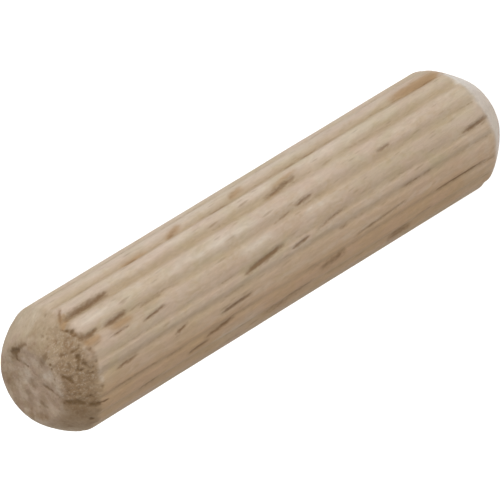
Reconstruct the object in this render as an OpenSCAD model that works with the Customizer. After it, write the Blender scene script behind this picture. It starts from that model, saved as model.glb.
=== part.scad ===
// Fluted dowel pin: one solid beech pin, glued into two drilled holes to line up and join two boards.
// It stands on its lower end face, with its axis on +Z and its origin at the middle of that face.

/* [Body] */
// Diameter over the lands
pin_d = 8; // [6:0.5:12]
// Length from end face to end face
pin_l = 38; // [25:1:60]

/* [Ends] */
// Length of each chamfer along the axis
chamfer_l = 2.3; // [1.5:0.1:3]
// How far each chamfer falls in from the lands, on the radius
chamfer_w = 1.6; // [1:0.1:2]
// How far each chamfer bulges out from a straight cone
chamfer_crown = 0.12; // [0.05:0.01:0.2]

/* [Flutes] */
// Number of flutes round the pin
flute_n = 19; // [12:1:24]
// Width of a flute across its mouth
flute_w = 0.55; // [0.3:0.05:0.6]
// Depth of a flute below the lands
flute_depth = 0.2; // [0.1:0.05:0.3]

/* [Hidden] */
$fn = 96;
cutter_fn = 24;

pin_r = pin_d / 2;
face_r = pin_r - chamfer_w;

// How far a cutter runs past the surface that it cuts
spare = 1;

// Radius of an arc from the length of its chord and its rise over the middle of that chord
function arc_r(chord, rise) = (pow(chord / 2, 2) + pow(rise, 2)) / (2 * rise);

// Half the long section's end: an arc from the rim of the end face out to the shoulder at the lands
rim = [face_r, 0];
shoulder = [pin_r, chamfer_l];
chamfer_chord = norm(shoulder - rim);
crown_r = arc_r(chamfer_chord, chamfer_crown);
// Unit vector from the chamfer straight out of the wood
chamfer_out = [chamfer_l, -chamfer_w] / chamfer_chord;
crown_centre = (rim + shoulder) / 2 - chamfer_out * (crown_r - chamfer_crown);

// How far the lands' arc stands out over a straight line across a flute's mouth
mouth_rise = pin_r - sqrt(pow(pin_r, 2) - pow(flute_w / 2, 2));
// Radius of the round-bottomed cutter that leaves the flute's width and depth
cutter_r = arc_r(flute_w, flute_depth - mouth_rise);
// Distance from the pin's axis to the cutter's
cutter_x = pin_r - flute_depth + cutter_r;

// What is turned away at the lower end: the corner outside the crowned chamfer
module end_cut() {
    difference() {
        translate([crown_centre.x, -spare])
            square([pin_r + spare - crown_centre.x, crown_centre.y + spare]);
        translate(crown_centre)
            circle(crown_r);
    }
}

// Smooth turned pin, before its flutes are rolled in
module blank() {
    rotate_extrude()
        difference() {
            square([pin_r, pin_l]);
            end_cut();
            translate([0, pin_l])
                mirror([0, 1])
                    end_cut();
        }
}

// Cutter for one straight flute, which runs out through both chamfers
module flute() {
    translate([cutter_x, 0, -spare])
        cylinder(r = cutter_r, h = pin_l + 2 * spare, $fn = cutter_fn);
}

module dowel_pin() {
    color([0.77, 0.66, 0.53])
        difference() {
            blank();
            for (i = [0 : flute_n - 1])
                rotate(i * 360 / flute_n)
                    flute();
        }
}

dowel_pin();
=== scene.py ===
"""A fluted beech dowel pin with crowned chamfers and torn end grain, standing on a plain pale floor."""

import logging
import math
from dataclasses import asdict, dataclass, fields
from enum import Enum

import bpy
import numpy as np
from mathutils import Matrix, Vector


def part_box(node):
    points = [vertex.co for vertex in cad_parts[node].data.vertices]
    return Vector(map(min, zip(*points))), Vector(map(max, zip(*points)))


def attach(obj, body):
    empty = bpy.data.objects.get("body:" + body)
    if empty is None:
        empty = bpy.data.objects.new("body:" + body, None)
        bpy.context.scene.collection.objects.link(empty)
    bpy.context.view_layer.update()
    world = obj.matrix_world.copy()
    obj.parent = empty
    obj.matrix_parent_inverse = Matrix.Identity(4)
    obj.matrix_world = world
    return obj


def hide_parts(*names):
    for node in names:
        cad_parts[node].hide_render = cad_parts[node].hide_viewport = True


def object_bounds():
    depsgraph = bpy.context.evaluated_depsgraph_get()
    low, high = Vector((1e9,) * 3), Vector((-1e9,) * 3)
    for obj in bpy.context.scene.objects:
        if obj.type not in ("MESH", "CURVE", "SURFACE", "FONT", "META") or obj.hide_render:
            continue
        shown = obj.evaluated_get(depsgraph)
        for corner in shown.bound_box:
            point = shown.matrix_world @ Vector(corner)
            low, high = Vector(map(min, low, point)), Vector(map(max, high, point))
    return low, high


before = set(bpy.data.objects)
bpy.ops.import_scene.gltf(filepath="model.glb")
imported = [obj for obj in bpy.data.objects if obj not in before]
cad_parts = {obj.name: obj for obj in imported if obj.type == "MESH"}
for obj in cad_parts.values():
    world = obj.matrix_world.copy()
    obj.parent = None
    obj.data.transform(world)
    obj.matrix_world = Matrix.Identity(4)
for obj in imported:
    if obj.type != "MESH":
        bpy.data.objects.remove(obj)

CAD_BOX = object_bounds()
LOG = logging.getLogger("dowel_pin")
MM = 0.001
Array = np.ndarray


# ---------------------------------------------------------------- shaping helpers


def smooth_step(low: float, high: float, value: Array) -> Array:
    """A rise from 0 to 1 between two edges, level at both: 3t^2 - 2t^3.

    Args:
        low: where the rise starts.
        high: where it ends. It may lie below low, for a fall.
        value: the numbers to shape.

    Returns:
        The shaped numbers, from 0 to 1.
    """
    t = np.clip((value - low) / (high - low), 0.0, 1.0)
    return t * t * (3.0 - 2.0 * t)


def smooth_min(first: Array, second: Array, blend: float) -> Array:
    """The smaller of two surfaces, with their crossing rounded over a width.

    Formula: min(a, b) - h^2 * blend / 4, where h is how far blend exceeds |a - b|, as a share of
    blend.

    Args:
        first: one surface.
        second: the other surface.
        blend: the width over which the crossing is rounded.

    Returns:
        The blended smaller surface.
    """
    share = np.maximum(blend - np.abs(first - second), 0.0) / blend
    return np.minimum(first, second) - share * share * blend / 4.0


def wrapped(angle: Array) -> Array:
    """An angle in degrees brought into -180 to 180."""
    return (angle + 180.0) % 360.0 - 180.0


def flat_places(front: Array, side: Array) -> Array:
    """Places on a flat face, with 0 as their third coordinate, for a noise to read."""
    return np.stack([front, side, np.zeros_like(front)], axis=-1)


@dataclass(frozen=True)
class WoodNoise:
    """Smooth repeatable noise in space, stretched along the grain.

    Formula: each whole-numbered corner of a lattice of cells gets a hashed value from -1 to 1, and a
    point takes the blend of its cell's eight corners, weighted by 6t^5 - 15t^4 + 10t^3 along each axis.

    Args:
        cell: the size of a cell along x, y and z, in millimetres.
        seed: picks one noise from many.
        octaves: how many noises are summed, each with half the cell and half the height of the last.
    """

    cell: tuple[float, float, float]
    seed: int
    octaves: int = 2

    @staticmethod
    def _hashed(corner: Array, seed: int) -> Array:
        """Hashes the lattice's corners, by multiplying and folding 32-bit integers.

        Args:
            corner: the corners' whole numbers, with x, y and z on the last axis.
            seed: picks one hash from many.

        Returns:
            A value from -1 to 1 for each corner.
        """
        cast = corner.astype(np.int64).astype(np.uint32)
        mixed = cast[..., 0] * np.uint32(73856093) ^ cast[..., 1] * np.uint32(19349663)
        mixed ^= cast[..., 2] * np.uint32(83492791) ^ np.uint32(seed * 2654435 + 97)
        for shift, factor in ((16, 2246822519), (13, 3266489917)):
            mixed = (mixed ^ (mixed >> np.uint32(shift))) * np.uint32(factor)
        mixed ^= mixed >> np.uint32(16)
        return mixed.astype(np.float64) / 2147483647.5 - 1.0

    def _layer(self, places: Array, seed: int) -> Array:
        """Works out one octave.

        Args:
            places: the places, counted in cells, with x, y and z on the last axis.
            seed: the octave's seed.

        Returns:
            The octave's value at each place, from -1 to 1.
        """
        base = np.floor(places)
        t = places - base
        weight = t * t * t * (t * (6.0 * t - 15.0) + 10.0)
        total = np.zeros(places.shape[:-1])
        for corner in range(8):
            step = np.array([corner & 1, corner >> 1 & 1, corner >> 2 & 1], float)
            share = np.prod(np.where(step == 1.0, weight, 1.0 - weight), axis=-1)
            total += share * self._hashed(base + step, seed)
        return total

    def at(self, places: Array) -> Array:
        """Sums the octaves.

        Args:
            places: the places in millimetres, with x, y and z on the last axis.

        Returns:
            The noise at each place, about 0.
        """
        total = np.zeros(places.shape[:-1])
        height, scaled = 1.0, places / np.array(self.cell)
        for octave in range(self.octaves):
            total += height * self._layer(scaled, self.seed + 31 * octave)
            height, scaled = height / 2.0, scaled * 2.0
        return total


@dataclass(frozen=True)
class Sector:
    """A stretch round the pin that has a tone of its own. Some of these tones are painted light and painted
    shade.

    Args:
        middle: turn of its middle, in degrees.
        reach: from there to where the tone has fallen to about a third, in degrees.
        power: 2 for a bell, or 4 for a stretch with a flatter top.
        strength: the tone's strength in the middle.
    """

    middle: float
    reach: float
    power: int
    strength: float

    def tone(self, turn: Array) -> Array:
        """The tone at each turn: strength * exp(-(turns away from the middle / reach)^power)."""
        return self.strength * np.exp(-((wrapped(turn - self.middle) / self.reach) ** self.power))


# ---------------------------------------------------------------- marks in the wood


class Tone(Enum):
    """The tone that a mark leaves on the wood, by the name of its mask. Most are stains; the pale tone also
    paints highlights, and the open tone also paints shade in pits and cracks.
    """

    BROWN = "fleck"
    AMBER = "amber"
    LIGHT = "light"
    DULL = "dull"
    OPEN = "open"


@dataclass(frozen=True)
class Mark:
    """One spindle-shaped mark that lies along the grain.

    Args:
        turn: degrees round the pin from the front, towards +X.
        depth: millimetres down from the upper end face to its middle.
        length: its length in millimetres.
        width: its width in millimetres.
        lean: degrees that it turns round the pin for each millimetre down.
        strength: how strong its stain is. Above 1, the full tone spreads wider.
        tone: its stain.
    """

    turn: float
    depth: float
    length: float
    width: float
    lean: float
    strength: float
    tone: Tone = Tone.BROWN

    def over(self, turn: Array, down: Array, radius: float) -> Array:
        """How strongly the mark covers each place.

        Formula: with u = along / half length and v = across / half width, (1 - |u|^3) times
        (0.5 * exp(-1.5 * v^2) + 0.5 * exp(-9 * v^2)), cut off at 0 past the ends, times the strength.
        That is a dark core in a paler stain.

        Args:
            turn: the places' turns in degrees.
            down: their distances from the upper end face, in millimetres.
            radius: the pin's radius in millimetres.

        Returns:
            A hump, from 0 past the mark's ends up to its strength in the middle.
        """
        along = down - self.depth
        across = np.radians(wrapped(turn - self.turn - self.lean * along)) * radius
        u, v = along / (self.length / 2.0), across / (self.width / 2.0)
        core = 0.5 * np.exp(-1.5 * v * v) + 0.5 * np.exp(-9.0 * v * v)
        return self.strength * np.clip(1.0 - np.abs(u) ** 3, 0.0, 1.0) * core


FRONT_MARKS = (
    # Dark strokes near the torn chamfer.
    # The first is painted shadow, a dark line below a blunt land's end.
    Mark(41.0, 2.20, 0.90, 0.85, 14.0, 0.6),
    Mark(9.0, 2.60, 1.00, 0.40, 0.5, 1.0),
    Mark(10.6, 2.75, 1.5, 0.50, 0.6, 0.9),
    Mark(34.8, 3.9, 4.2, 0.85, 0.2, 0.95),
    Mark(-26.8, 4.1, 2.3, 0.42, 0.7, 0.8),
    Mark(-1.0, 4.6, 1.8, 0.32, 0.4, 0.65),
    Mark(9.8, 4.8, 2.4, 0.62, 0.9, 0.95),
    Mark(52.0, 5.0, 3.2, 0.50, 0.4, 0.35),
    Mark(36.0, 5.3, 1.2, 0.50, 0.8, 0.9),
    Mark(-3.0, 7.3, 2.4, 0.38, 1.3, 0.85),
    Mark(8.0, 7.5, 2.4, 0.36, 0.1, 0.55),
    # Dark strokes down the middle of the front.
    Mark(-13.0, 16.2, 4.1, 0.56, 1.3, 1.15),
    Mark(10.0, 19.1, 2.2, 0.30, 1.6, 0.5),
    Mark(-17.0, 19.2, 1.9, 0.42, 1.5, 0.95),
    Mark(13.0, 21.0, 1.8, 0.46, 1.4, 0.75),
    Mark(-13.2, 22.0, 3.6, 0.50, 1.3, 0.55),
    Mark(15.6, 28.1, 1.5, 0.46, 1.0, 0.7),
    Mark(-9.0, 34.9, 2.8, 0.54, 0.7, 0.9),
    # Dark strokes towards -X, where they are long and thin.
    Mark(-49.5, 2.0, 0.8, 0.24, 0.0, 0.9),
    Mark(-43.0, 4.5, 5.0, 0.52, 0.0, 0.45),
    Mark(-61.5, 6.0, 2.2, 0.80, 1.0, 0.65),
    Mark(-45.0, 8.0, 2.0, 0.60, 0.0, 0.35),
    Mark(-27.2, 8.7, 1.3, 0.36, 2.2, 0.85),
    Mark(-53.5, 9.9, 2.1, 0.56, 1.2, 0.78),
    Mark(-47.2, 11.7, 3.0, 0.50, 1.2, 0.82),
    Mark(-34.0, 13.2, 3.2, 0.50, 0.9, 0.95),
    Mark(-72.0, 13.2, 2.4, 1.00, 1.0, 0.3),
    Mark(-65.0, 17.0, 3.0, 1.60, 1.5, 0.42),
    Mark(-61.5, 18.5, 3.2, 1.10, 1.0, 0.6),
    Mark(-46.0, 20.0, 1.6, 0.80, 3.0, 0.3),
    Mark(-49.5, 21.4, 2.8, 1.10, 1.2, 0.65),
    Mark(-25.5, 22.7, 1.0, 0.40, 1.0, 0.55),
    Mark(-37.3, 25.6, 5.4, 0.42, 0.9, 0.62),
    Mark(-68.0, 27.6, 2.4, 1.40, 1.0, 0.65),
    Mark(-23.2, 28.8, 2.2, 0.40, 0.0, 0.65),
    Mark(-60.0, 29.5, 2.0, 1.00, 1.5, 0.4),
    Mark(-23.0, 30.1, 0.9, 0.50, 0.0, 0.5),
    Mark(-44.0, 32.8, 5.2, 0.40, 0.0, 0.9),
    # Dark strokes towards +X, most of them inside amber stains.
    Mark(52.0, 8.9, 1.2, 0.50, 0.4, 0.6),
    Mark(54.5, 12.5, 1.5, 0.80, 4.0, 0.35),
    Mark(51.5, 16.4, 2.0, 0.50, 0.6, 0.6),
    Mark(58.0, 17.9, 0.9, 0.90, 6.0, 0.25),
    Mark(35.2, 20.5, 3.6, 0.60, 1.4, 0.72),
    Mark(52.5, 22.6, 1.6, 0.50, 0.6, 0.5),
    Mark(52.5, 24.2, 1.8, 0.50, 0.6, 0.5),
    Mark(52.0, 34.4, 2.4, 0.70, 0.0, 0.45),
    # Amber stains.
    Mark(36.0, 1.95, 0.80, 1.00, 16.0, 0.85, Tone.AMBER),
    Mark(4.2, 2.55, 1.5, 1.15, 0.0, 1.1, Tone.AMBER),
    Mark(4.4, 4.9, 2.2, 1.10, 0.1, 0.85, Tone.AMBER),
    Mark(53.0, 9.2, 2.6, 0.90, 0.4, 0.8, Tone.AMBER),
    Mark(56.5, 12.8, 1.9, 1.20, 4.0, 0.9, Tone.AMBER),
    Mark(58.0, 18.3, 1.8, 1.20, 3.0, 0.7, Tone.AMBER),
    Mark(32.5, 19.8, 1.6, 0.50, 0.6, 0.6, Tone.AMBER),
    Mark(40.0, 21.1, 3.0, 1.00, 1.2, 0.75, Tone.AMBER),
    Mark(55.5, 34.2, 6.0, 2.00, -0.2, 1.0, Tone.AMBER),
    Mark(54.5, 34.6, 2.6, 1.70, -0.2, 1.3, Tone.AMBER),
    # Pale streaks on the lands: painted highlights where the lands catch the light, and some paler wood. The
    # long ones down the pin and the broad one near the lower end are painted light.
    Mark(21.5, 3.9, 3.8, 1.10, 0.0, 0.75, Tone.LIGHT),
    Mark(43.5, 9.0, 9.0, 1.20, 0.0, 0.15, Tone.LIGHT),
    Mark(-59.0, 13.4, 4.6, 2.20, 0.0, 0.35, Tone.LIGHT),
    Mark(19.5, 13.5, 9.0, 1.10, -0.3, 0.8, Tone.LIGHT),
    Mark(1.5, 16.2, 3.4, 1.00, 0.5, 0.8, Tone.LIGHT),
    Mark(66.0, 20.0, 30.0, 1.60, 0.0, 0.4, Tone.LIGHT),
    Mark(-35.0, 20.0, 38.0, 1.00, 0.0, 0.30, Tone.LIGHT),
    Mark(-20.0, 20.0, 42.0, 0.50, 0.0, 0.12, Tone.LIGHT),
    Mark(2.5, 21.2, 2.0, 0.90, 0.5, 0.7, Tone.LIGHT),
    Mark(43.0, 24.0, 15.0, 0.90, 0.0, 0.4, Tone.LIGHT),
    Mark(-35.0, 35.6, 6.0, 13.0, 0.0, 0.28, Tone.LIGHT),
    # Duller streaks, most of them along the whole length of a flute.
    Mark(43.5, 4.0, 5.5, 1.20, 0.0, 0.12, Tone.DULL),
    Mark(26.5, 5.0, 3.6, 0.90, 0.0, 0.12, Tone.DULL),
    Mark(-22.0, 5.0, 9.0, 3.20, 0.0, 0.12, Tone.DULL),
    Mark(4.5, 5.6, 5.4, 1.10, 0.0, 0.24, Tone.DULL),
    Mark(32.0, 9.5, 11.0, 1.00, 0.0, 0.22, Tone.DULL),
    Mark(52.5, 18.0, 42.0, 0.80, 0.0, 0.12, Tone.DULL),
    Mark(8.5, 18.0, 42.0, 0.80, 0.0, 0.12, Tone.DULL),
    Mark(-12.5, 18.0, 42.0, 0.60, 0.0, 0.10, Tone.DULL),
    Mark(-77.0, 19.0, 44.0, 1.20, 0.0, 0.25, Tone.DULL),
    Mark(30.5, 20.0, 42.0, 0.70, 0.0, 0.12, Tone.DULL),
    Mark(15.5, 20.0, 42.0, 0.70, 0.0, 0.20, Tone.DULL),
    Mark(-25.0, 20.0, 42.0, 0.60, 0.0, 0.14, Tone.DULL),
    Mark(-4.5, 22.0, 42.0, 0.60, 0.0, 0.18, Tone.DULL),
    Mark(62.0, 27.0, 8.0, 1.80, 0.0, 0.16, Tone.DULL),
)


@dataclass(frozen=True)
class BackMarks:
    """Marks scattered over the sides and the back, where none is listed.

    Args:
        count: how many there are.
        seed: the seed of the random draws.
        sector: the turns between which they lie, in degrees.
        margin: how far they stay from the ends, in millimetres.
        lengths: the range of their lengths, in millimetres.
        widths: the range of the dark marks' widths, in millimetres.
        strengths: the range of their strengths.
        lean: degrees that a mark in the middle of the back turns round the pin for each millimetre down.
            Marks further round lean less, and past the side the other way.
        lean_spread: the usual difference from that lean, in the same measure.
        amber_share: the share of amber marks.
        amber_width: how many times wider an amber mark is.
    """

    count: int = 34
    seed: int = 11
    sector: tuple[float, float] = (80.0, 280.0)
    margin: float = 3.0
    lengths: tuple[float, float] = (1.4, 4.4)
    widths: tuple[float, float] = (0.2, 0.36)
    strengths: tuple[float, float] = (0.5, 1.0)
    lean: float = -0.8
    lean_spread: float = 0.3
    amber_share: float = 0.2
    amber_width: float = 2.2

    def on(self, length: float) -> tuple[Mark, ...]:
        """Scatters the marks.

        Args:
            length: the pin's length in millimetres.

        Returns:
            The marks.
        """
        draw = np.random.default_rng(self.seed)
        marks = []
        for _ in range(self.count):
            turn = draw.uniform(*self.sector)
            lean = self.lean * math.cos(math.radians(turn - 180.0))
            tone = Tone.AMBER if draw.random() < self.amber_share else Tone.BROWN
            wide = self.amber_width if tone is Tone.AMBER else 1.0
            depth = draw.uniform(self.margin, length - self.margin)
            long = draw.uniform(*self.lengths)
            width = wide * draw.uniform(*self.widths)
            lean += draw.normal(0.0, self.lean_spread)
            marks.append(Mark(turn, depth, long, width, lean, draw.uniform(*self.strengths), tone))
        return tuple(marks)


@dataclass(frozen=True)
class Hollow:
    """A crack, a torn pore or a stain in the upper end, in millimetres measured over its surface.

    Args:
        start: one end, as distances from the middle of the end face to the front and towards +X.
        end: the other end, in the same way.
        width: half its width at the start. It narrows to half of that at the end.
        depth: its depth. A stain without a hollow has 0.
        stain: how strongly it is stained. Above 1, the full tone spreads wider.
        tone: its stain.
    """

    start: tuple[float, float]
    end: tuple[float, float]
    width: float
    depth: float
    stain: float
    tone: Tone = Tone.OPEN

    def over(self, front: Array, side: Array) -> Array:
        """How much of the hollow each place has.

        Formula: exp(-(distance from the hollow's line / half width there)^2).

        Args:
            front: the places' distances over the surface from the middle of the end face to the front, in
                millimetres.
            side: their distances towards +X, measured in the same way.

        Returns:
            The share at each place, from 0 to 1.
        """
        a, b = np.array(self.start), np.array(self.end)
        run = b - a
        share = np.clip(((front - a[0]) * run[0] + (side - a[1]) * run[1]) / (run @ run), 0.0, 1.0)
        away = np.hypot(front - a[0] - share * run[0], side - a[1] - share * run[1])
        return np.exp(-((away / (self.width * (1.0 - 0.5 * share))) ** 2))


END_HOLLOWS = (
    # Dark pits and scratches on the sawn face.
    Hollow((0.05, 2.15), (0.60, 2.10), 0.40, 0.05, 1.0),
    Hollow((0.15, 1.95), (0.10, 1.65), 0.25, 0.03, 0.8),
    Hollow((0.70, 2.28), (1.40, 2.24), 0.36, 0.02, 0.6),
    Hollow((0.20, 1.60), (0.60, 1.00), 0.18, 0.03, 0.6),
    Hollow((0.70, 0.80), (0.90, 0.20), 0.13, 0.03, 0.35),
    Hollow((1.00, -0.40), (1.70, -1.40), 0.15, 0.03, 0.6),
    Hollow((1.70, -1.40), (1.81, -1.86), 0.12, 0.03, 0.4),
    Hollow((2.50, 0.95), (1.70, 0.60), 0.28, 0.02, 0.62),
    Hollow((0.10, 0.00), (0.05, -0.30), 0.33, 0.01, 0.6),
    Hollow((-0.60, -0.40), (-0.90, -0.70), 0.38, 0.01, 0.45),
    Hollow((-0.05, -1.35), (0.10, -1.60), 0.32, 0.01, 0.5),
    # The torn edge of a land at the front, with its amber rim. The two dark hollows after it are painted
    # shadow, a band below the land's end.
    Hollow((4.16, 3.03), (4.00, 2.24), 0.34, 0.05, 1.1, Tone.AMBER),
    Hollow((4.49, 1.73), (3.91, 2.12), 0.17, 0.06, 0.95),
    Hollow((4.92, 0.84), (4.35, 1.65), 0.26, 0.05, 0.35),
    # The crack across the chamfer.
    Hollow((2.43, -2.64), (1.75, -1.90), 0.31, 0.03, 0.8),
    Hollow((2.43, -2.64), (2.95, -3.59), 0.31, 0.03, 0.8),
    # Pits and open pores in the torn grain.
    Hollow((3.98, 0.42), (4.43, 0.42), 0.14, 0.05, 0.8),
    Hollow((3.38, 0.57), (3.62, 0.49), 0.13, 0.04, 0.55),
    Hollow((4.18, -0.07), (4.17, -0.33), 0.20, 0.08, 1.1),
    Hollow((4.82, -0.03), (5.06, -0.05), 0.17, 0.04, 0.6),
    Hollow((4.97, -1.10), (5.38, -1.05), 0.18, 0.05, 0.85),
    Hollow((4.28, -0.62), (4.38, -1.23), 0.16, 0.06, 0.85),
    Hollow((4.09, -0.38), (3.81, -0.72), 0.16, 0.05, 0.85),
    Hollow((3.69, -0.71), (4.00, -0.96), 0.14, 0.06, 0.85),
    Hollow((3.53, -0.19), (3.35, -0.59), 0.17, 0.04, 0.5),
    Hollow((4.18, -1.42), (4.31, -1.56), 0.18, 0.05, 0.85),
    Hollow((3.47, -0.92), (3.73, -1.06), 0.11, 0.03, 0.55),
    Hollow((2.85, -0.61), (2.97, -0.95), 0.16, 0.05, 0.9),
    Hollow((3.13, -1.02), (3.06, -1.28), 0.20, 0.05, 0.9),
    Hollow((2.61, -1.12), (2.57, -1.52), 0.24, 0.03, 0.5),
    Hollow((3.39, -2.07), (3.37, -2.35), 0.13, 0.04, 0.5),
    Hollow((3.37, -2.35), (3.07, -2.34), 0.12, 0.03, 0.4),
    Hollow((3.08, -2.74), (3.14, -2.93), 0.20, 0.04, 0.65),
    Hollow((4.06, -2.83), (3.90, -3.00), 0.13, 0.04, 0.55),
    Hollow((1.61, -4.07), (1.66, -4.19), 0.20, 0.04, 0.9),
    Hollow((1.71, -2.98), (1.49, -3.16), 0.14, 0.02, 0.45),
    Hollow((2.68, 0.22), (2.78, 0.16), 0.18, 0.04, 0.8),
    Hollow((2.86, 3.74), (2.86, 3.55), 0.16, 0.03, 0.5),
    Hollow((2.67, 2.22), (2.73, 2.16), 0.13, 0.03, 0.5),
    # Duller patches, which have no depth.
    Hollow((0.60, 2.32), (1.30, 2.20), 0.36, 0.00, 0.7, Tone.DULL),
    Hollow((-0.80, 1.60), (-1.80, 0.80), 0.45, 0.00, 0.6, Tone.DULL),
    Hollow((-1.20, -1.40), (0.00, -2.57), 0.45, 0.00, 0.7, Tone.DULL),
    # The next two widen the painted shadow below a land's end.
    Hollow((3.92, 2.08), (4.40, 1.65), 0.26, 0.00, 1.0, Tone.DULL),
    Hollow((4.20, 2.30), (4.62, 1.74), 0.30, 0.00, 0.55, Tone.DULL),
    Hollow((3.20, 0.35), (3.00, 1.10), 0.45, 0.00, 0.80, Tone.DULL),
    Hollow((2.00, 2.55), (2.30, 3.30), 0.40, 0.00, 0.60, Tone.DULL),
    # The next two also darken that painted shadow below the land's end.
    Hollow((4.92, 0.84), (4.35, 1.65), 0.34, 0.00, 1.1, Tone.DULL),
    Hollow((4.90, 0.55), (4.00, 1.60), 0.42, 0.00, 0.95, Tone.DULL),
    Hollow((5.00, -0.60), (4.80, 0.10), 0.45, 0.00, 0.80, Tone.DULL),
    Hollow((4.02, 0.83), (3.00, 1.69), 0.60, 0.00, 0.95, Tone.DULL),
    Hollow((4.40, 0.30), (3.40, 0.60), 0.60, 0.00, 0.90, Tone.DULL),
    Hollow((2.60, 2.85), (3.00, 2.26), 0.75, 0.00, 0.45, Tone.DULL),
    Hollow((1.20, 2.40), (1.90, 1.65), 0.35, 0.00, 0.60, Tone.DULL),
    Hollow((3.75, -0.80), (3.08, -2.23), 1.10, 0.00, 0.6, Tone.DULL),
    Hollow((3.15, -2.20), (2.75, -2.75), 0.60, 0.00, 0.7, Tone.DULL),
    Hollow((1.70, -2.60), (2.02, -3.47), 0.72, 0.00, 0.90, Tone.DULL),
    Hollow((1.97, -3.13), (0.10, -3.55), 0.85, 0.00, 0.9, Tone.DULL),
    # Paler patches. The wide one on the chamfer towards +X is painted light on its lit side.
    Hollow((1.60, -0.15), (2.20, 0.00), 0.34, 0.00, 0.9, Tone.LIGHT),
    Hollow((0.30, 0.65), (-0.30, 0.35), 0.32, 0.00, 0.55, Tone.LIGHT),
    Hollow((2.96, 0.55), (2.75, 0.11), 0.25, 0.00, 0.5, Tone.LIGHT),
    Hollow((1.90, 4.00), (0.10, 4.60), 0.90, 0.00, 0.35, Tone.LIGHT),
    Hollow((4.26, -0.55), (4.15, -0.90), 0.14, 0.00, 0.6, Tone.LIGHT),
    Hollow((1.85, -1.05), (1.92, -1.62), 0.25, 0.00, 0.6, Tone.LIGHT),
    Hollow((4.55, -1.85), (4.35, -2.50), 0.25, 0.00, 0.5, Tone.LIGHT),
)


# ---------------------------------------------------------------- the pin's parts


@dataclass(frozen=True)
class SkinGrid:
    """The grid of the skin's points before they have a radius: rows down the pin, columns round it.

    Args:
        share: each point's share of the way out from the axis to the rim, which is 1 on the side.
        turn: its turn in degrees.
        down: its distance from the upper end face, in millimetres.
        up: its distance from the lower end face, in millimetres.
    """

    share: Array
    turn: Array
    down: Array
    up: Array

    @property
    def on_top(self) -> Array:
        """Which points lie on the upper end face."""
        return self.down == 0.0

    @property
    def on_foot(self) -> Array:
        """Which points lie on the lower end face."""
        return self.up == 0.0

    def spread(self, reach: Array) -> tuple[Array, Array]:
        """How far points at a distance from the axis lie to the front and towards +X."""
        return reach * np.cos(np.radians(self.turn)), reach * np.sin(np.radians(self.turn))

    def places(self, radius: Array) -> Array:
        """The points at a radius on the side, as x, y and the distance down, in millimetres."""
        front, side = self.spread(radius)
        return np.stack([side, -front, self.down], axis=-1)


@dataclass(frozen=True)
class Flutes:
    """The ring of straight flutes that is rolled into the shank.

    Args:
        count: number of flutes.
        first: turn of one flute's middle, in degrees from the front towards +X.
        depth: depth of a full flute below the lands, in millimetres.
        half_width: from a flute's middle to where it fades out on the land, in degrees.
        shares: each flute's depth as a share of a full one, from the first round towards -X.
        shifts: how far each flute lies off its even place, in degrees.
        widths: each flute's width as a share of a full one.
        wander: how far a flute strays from its straight line, in degrees.
        swell: how much a flute's depth varies along the pin, as a share of it.
        seam: from the middle of the seam to where it has faded to about a third, in degrees.
    """

    count: int = 19
    first: float = 90.0
    depth: float = 0.2
    half_width: float = 8.0
    shares: tuple[float, ...] = (
        0.8, 0.4, 1.0, 1.0, 0.8, 0.5, 0.55, 0.6, 0.7, 0.6,
        0.9, 0.7, 1.0, 0.8, 0.6, 0.9, 1.0, 0.7, 0.9,
    )
    shifts: tuple[float, ...] = (
        0.0, 1.0, 1.0, 0.0, -5.0, -7.0, 0.0, -2.5, -2.5, 0.0,
        0.0, -1.0, 1.0, 0.5, -0.5, 1.0, 0.0, -1.0, 0.5,
    )
    widths: tuple[float, ...] = (
        1.0, 1.0, 1.0, 1.0, 0.95, 1.0, 0.75, 0.6, 0.9, 0.9,
        1.0, 0.9, 1.0, 0.8, 0.9, 1.0, 1.0, 0.8, 1.0,
    )
    wander: float = 0.5
    swell: float = 0.25
    seam: float = 1.3

    def _lines(self, grid: SkinGrid) -> tuple[Array, Array, Array]:
        """Finds the nearest flute to each point.

        Args:
            grid: the skin's grid.

        Returns:
            The flute's number, how far round the pin the point lies from the flute's line in degrees, and
            a spot of noise space that belongs to the flute alone and moves along with the pin.
        """
        pitch = 360.0 / self.count
        number = np.round((self.first - grid.turn) / pitch)
        which = number.astype(int) % self.count
        home = np.stack([which * 7.3, np.zeros_like(grid.turn), grid.down], axis=-1)
        stray = self.wander * WoodNoise((1.0, 1.0, 13.0), 5).at(home)
        line = self.first - number * pitch + np.array(self.shifts)[which] + stray
        return which, grid.turn - line, home

    def depth_at(self, grid: SkinGrid) -> Array:
        """Depth of the flutes below the lands.

        Formula: a raised cosine, half of 1 + cos(pi * t), across each flute, where t runs from -1 to 1
        over its width. Its height is the flute's share of the depth. Both the height and the flute's line
        vary slowly along the pin.

        Args:
            grid: the skin's grid.

        Returns:
            The depth at each point, in millimetres.
        """
        which, away, home = self._lines(grid)
        across = away / (self.half_width * np.array(self.widths)[which])
        swollen = 1.0 + self.swell * WoodNoise((1.0, 1.0, 6.0), 8).at(home)
        hollow = 0.5 + 0.5 * np.cos(np.pi * np.clip(across, -1.0, 1.0))
        return self.depth * np.array(self.shares)[which] * swollen * hollow

    def seam_at(self, grid: SkinGrid) -> Array:
        """The thin dark line along the bottom of a flute.

        Formula: exp(-(a / seam)^2), where a is the distance from a line that strays up to about a degree
        from the flute's.

        Args:
            grid: the skin's grid.

        Returns:
            The line's strength at each point, from 0 to 1.
        """
        _, away, home = self._lines(grid)
        stray = WoodNoise((1.0, 1.0, 2.5), 9).at(home)
        return np.exp(-(((away - stray) / self.seam) ** 2))


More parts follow.
